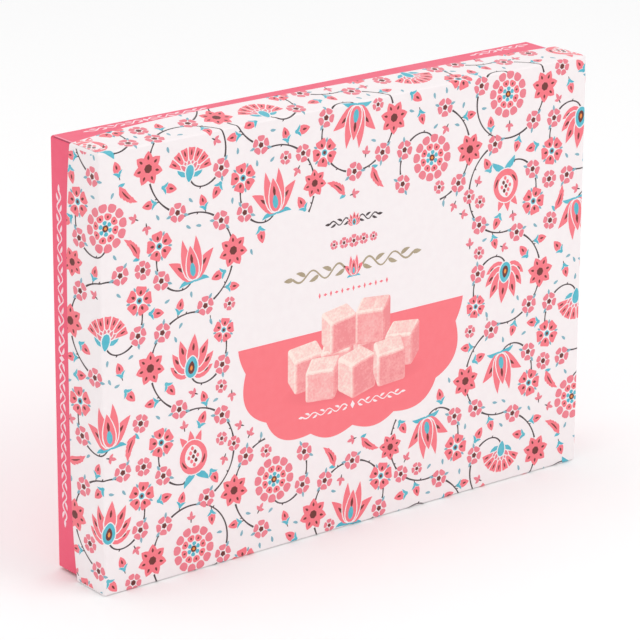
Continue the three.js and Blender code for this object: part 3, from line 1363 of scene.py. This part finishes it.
def beyond(items, start, normal):
    """The items that reach past a plane."""
    limit = normal.dot(start) + CUT_MERGE
    return [item for item in items if any(normal.dot(vert.co) > limit for vert in verts_of(item))]


def between(lines, value):
    """The two lines on either side of a value, and how far along it is from one to the other."""
    after = min(max(bisect.bisect_left(lines, value), 1), len(lines) - 1)
    first, last = lines[after - 1 : after + 1]
    return first, last, (value - first) / (last - first)


def on_facet(spot, lift):
    """Where a spot lies on the folded lid, on the flat between the four corners of its facet."""
    away = spot - nearest_on_face(spot)
    axis = 0 if abs(away.x) > abs(away.y) else 1
    if away.length < CUT_MERGE:
        return folded(spot, lift)
    near, far, down = between(SHEET_LINES, away.length)
    first, last, along = between(FACET_LINES[1 - axis], spot[1 - axis])
    corners = []
    for distance in (near, far):
        for value in (first, last):
            corner = Vector((value, value))
            corner[axis] = math.copysign(HALF_FACE[axis] + distance, away[axis])
            corners.append(folded(corner, lift))
    return corners[0].lerp(corners[1], along).lerp(corners[2].lerp(corners[3], along), down)


def folded_film(sheet):
    """Turns a flat ink sheet into a thin closed film on the folded lid."""
    for axis, half in enumerate(HALF_FACE):
        along = Vector((axis, 1 - axis, 0))
        for side in (-1, 1):
            out = Vector((side * (1 - axis), side * axis, 0))
            edge = out * half
            scored(sheet, sheet.verts[:] + sheet.edges[:] + sheet.faces[:], edge, out, [0])
            wall = beyond(sheet.verts[:] + sheet.edges[:] + sheet.faces[:], edge, out)
            scored(sheet, wall, Vector((0, 0, 0)), along, FACET_LINES[1 - axis])
            wall = beyond(sheet.verts[:] + sheet.edges[:] + sheet.faces[:], edge, out)
            scored(sheet, wall, edge, out, SHEET_LINES[1:], trimmed=True)
    corners = [
        face
        for face in sheet.faces
        if all(abs(value) > half for value, half in zip(face.calc_center_median(), HALF_FACE))
    ]
    bmesh.ops.delete(sheet, geom=corners, context="FACES")
    thickened(sheet)
    for vert in sheet.verts:
        vert.co = on_facet(vert.co.xy, vert.co.z)
    return sheet


for ink, sheet in SHEETS.items():
    as_piece(folded_film(sheet), f"print_{ink}", INKS[ink])
as_piece(folded_film(sweets), "print_sweets", sugar_ink)
as_piece(folded_film(shadow), "print_shadow", heap_shadow_ink)

# %% [markdown]
# ## The base's own print
#
# On the base the same vine runs in pale pink, up the left side and at both ends of the top. The base
# needs its own way from flat to folded: a spot's run is measured up the left side, round the corner
# and along the top.

# %% Round the base
BASE_LIFT = 0.03
SIDE_RUN = base_size.z - 2 * BASE_CORNER
CORNER_RUN = BASE_CORNER * math.pi / 2
TOP_RUN = base_size.x - 2 * BASE_CORNER
STRIP_MIDDLE = (lid_high.y + base_high.y) / 2
SIDE_LINE = STRIP_MIDDLE + 2.6  # both vines run nearer the back, clear of the lid's bowed rim
TOP_LINE = STRIP_MIDDLE + 3.6


def on_base(run, depth, lift):
    """Where a spot lies on the base: run goes up the left side and along the top."""
    if run < SIDE_RUN:
        return Vector((base_low.x - lift, depth, base_low.z + BASE_CORNER + run))
    centre = Vector((base_low.x + BASE_CORNER, depth, base_high.z - BASE_CORNER))
    if run < SIDE_RUN + CORNER_RUN:
        turn = (run - SIDE_RUN) / BASE_CORNER
        return centre + (BASE_CORNER + lift) * Vector((-math.cos(turn), 0, math.sin(turn)))
    return centre + Vector((run - SIDE_RUN - CORNER_RUN, 0, BASE_CORNER + lift))


def on_back(across, up, lift):
    """Where a spot lies on the back, measured from its middle."""
    return Vector((middle.x + across, base_back + lift, middle.z + up))


def laid(sheet, place, sides=(1,), root=FILM_ROOT):
    """Thickens a flat sheet and lays it on the base with place, and mirrored where sides has -1."""
    thickened(sheet, root)
    for vert in sheet.verts:
        vert.co = place(*vert.co)
    if -1 in sides:
        copy = bmesh.ops.duplicate(sheet, geom=sheet.verts[:] + sheet.edges[:] + sheet.faces[:])["geom"]
        verts = [item for item in copy if isinstance(item, bmesh.types.BMVert)]
        bmesh.ops.scale(sheet, vec=(-1, 1, 1), verts=verts)
    # The next operator reads the face normals that are stored, which are still those of the flat sheet.
    sheet.normal_update()
    bmesh.ops.recalc_face_normals(sheet, faces=sheet.faces)
    return sheet


SHEETS["base_pale"] = bmesh.new()
coats_laid = 0
vine("base_pale", Vector((SIDE_RUN / 2, SIDE_LINE)), 1.5, 66.0, 1.9, 16, 0.8, 3.4)
diamond("base_pale", (SIDE_RUN / 2, SIDE_LINE), 2.4, 3.4)
for share, reach, waves in ((0.17, 26.0, 6), (0.925, 13.0, 3)):
    spot = Vector((SIDE_RUN + CORNER_RUN + share * TOP_RUN, TOP_LINE))
    coats_laid = 0
    vine("base_pale", spot, 1.5, reach, 1.7, waves, 0.8, 3.2)
    diamond("base_pale", spot, 2.4, 3.4)
as_piece(laid(SHEETS["base_pale"], on_base), "base_vine", INKS["pale"])

# %% [markdown]
# In each of the two upper creases the glued tab is inked dark rose, painted shade for the shadow
# inside the crease, and beside it the fold is inked pale: partly coating rubbed off where it has
# cracked, partly a painted highlight along the fold. Both are narrow strips of the sheet: the tab
# is sunk into the crease and the pale line lies on top.

# %% The tab in the crease, coloured as painted shade, and the fold beside it pale, rubbed and with a painted highlight
# Each strip's first and last run round the base, and how deep it ends.
RUB_AND_HIGHLIGHT = (SIDE_RUN + 1.25, SIDE_RUN + 1.8, base_back - BASE_FOLD - 0.6)
TAB = (SIDE_RUN + 0.5, SIDE_RUN + 1.3, base_back - CREASE_STOP + 1.2)
TAB_SINK = -0.1
TAB_ROOT = 0.5
STRIP_BEGIN = lid_high.y - 1.0


def strip(first, last, stop, lift):
    """A strip along the fold, from under the lid's rim to near the back, narrower at its end."""
    sheet = bmesh.new()
    for vert in bmesh.ops.create_grid(sheet, x_segments=6, y_segments=12, size=1)["verts"]:
        narrow = 1 - 0.6 * max(0, vert.co.y) ** 3
        run = (first + last) / 2 + (last - first) / 2 * vert.co.x * narrow
        vert.co = (run, STRIP_BEGIN + (stop - STRIP_BEGIN) * (1 + vert.co.y) / 2, lift)
    return sheet


# The pale strip beside each crease: rubbed coating, and a painted highlight along the fold.
as_piece(laid(strip(*RUB_AND_HIGHLIGHT, BASE_LIFT), on_base, sides=(1, -1)), "base_rub_and_painted_highlight", INKS["rubbed_and_highlight"])
# The dark strip sunk in each crease is the tab coloured as painted shade for the crease's shadow.
tab_shade = laid(strip(*TAB, TAB_SINK), on_base, sides=(1, -1), root=TAB_ROOT)
as_piece(tab_shade, "base_tab_painted_shade", INKS["tab_shade"])

# %% [markdown]
# The back is where such a box is plainest, and it still has its frame: two pale lines round the
# edge, and in the middle the lid's lobed shape once more with a rosette in it. A line comes from
# a flat shape that is inset by the line's width and then loses its inside.

# %% The back
BACK_MARGINS = ((9.0, 6.5, 0.8), (11.0, 5.0, 0.35))
BACK_PANELS = ((0.62, 0.8), (0.58, 0.35))
BACK_SEGMENTS = 8
BACK_ROSETTE = 9.0
BACK_BUD = 4.2
BACK_BUD_OUT = 19


def edge_line(sheet, faces, width):
    """Leaves only a line of this width along the edge of a flat shape."""
    bmesh.ops.inset_region(sheet, faces=faces, thickness=width, use_boundary=True, use_even_offset=True)
    bmesh.ops.delete(sheet, geom=faces, context="FACES")


SHEETS["back"] = bmesh.new()
coats_laid = 0
for margin, corner, width in BACK_MARGINS:
    plate = bmesh.new()
    bmesh.ops.create_grid(plate, x_segments=1, y_segments=1, size=1)
    bmesh.ops.scale(plate, vec=(base_size.x / 2 - margin, base_size.z / 2 - margin, 1), verts=plate.verts)
    bmesh.ops.translate(plate, vec=(0, 0, next_coat()), verts=plate.verts)
    rounded = {**bevel, "affect": "VERTICES"}
    bmesh.ops.bevel(plate, geom=plate.verts[:], offset=corner, segments=BACK_SEGMENTS, **rounded)
    edge_line(plate, plate.faces[:], width)
    merge_into(SHEETS["back"], plate)
for size, width in BACK_PANELS:
    plate = bmesh.new()
    rim = bmesh.ops.create_circle(plate, cap_ends=True, segments=FIELD_POINTS, radius=1)
    for vert in rim["verts"]:
        angle = math.atan2(vert.co.y, vert.co.x)
        vert.co = (*(vert.co.xy * panel_radius(angle) * size), FIRST_COAT)
    edge_line(plate, plate.faces[:], width)
    merge_into(SHEETS["back"], plate)
centre = at((0, 0), math.pi / 2, BACK_ROSETTE)
ring(16, centre, lambda p: petal("back", p, 0.7, 0.3, 0.25, 0.42, 0.3, sides=10))
ring(8, centre, lambda p: petal("back", p, 0.24, 0.38, 0.3, 0.6, 0.9, sides=12))
disc("back", centre, 0.15, sides=12)
for turn in (0, math.pi):
    foot = at((BACK_BUD_OUT * math.cos(turn), 0), turn, BACK_BUD) @ at((-0.9, 0))
    ring(3, foot, lambda p: petal("back", p, 0.1, 1.6, 0.5, 0.6, 1.0, sides=12), spread=0.2)
as_piece(laid(SHEETS["back"], on_back), "back_frame", INKS["pale"])
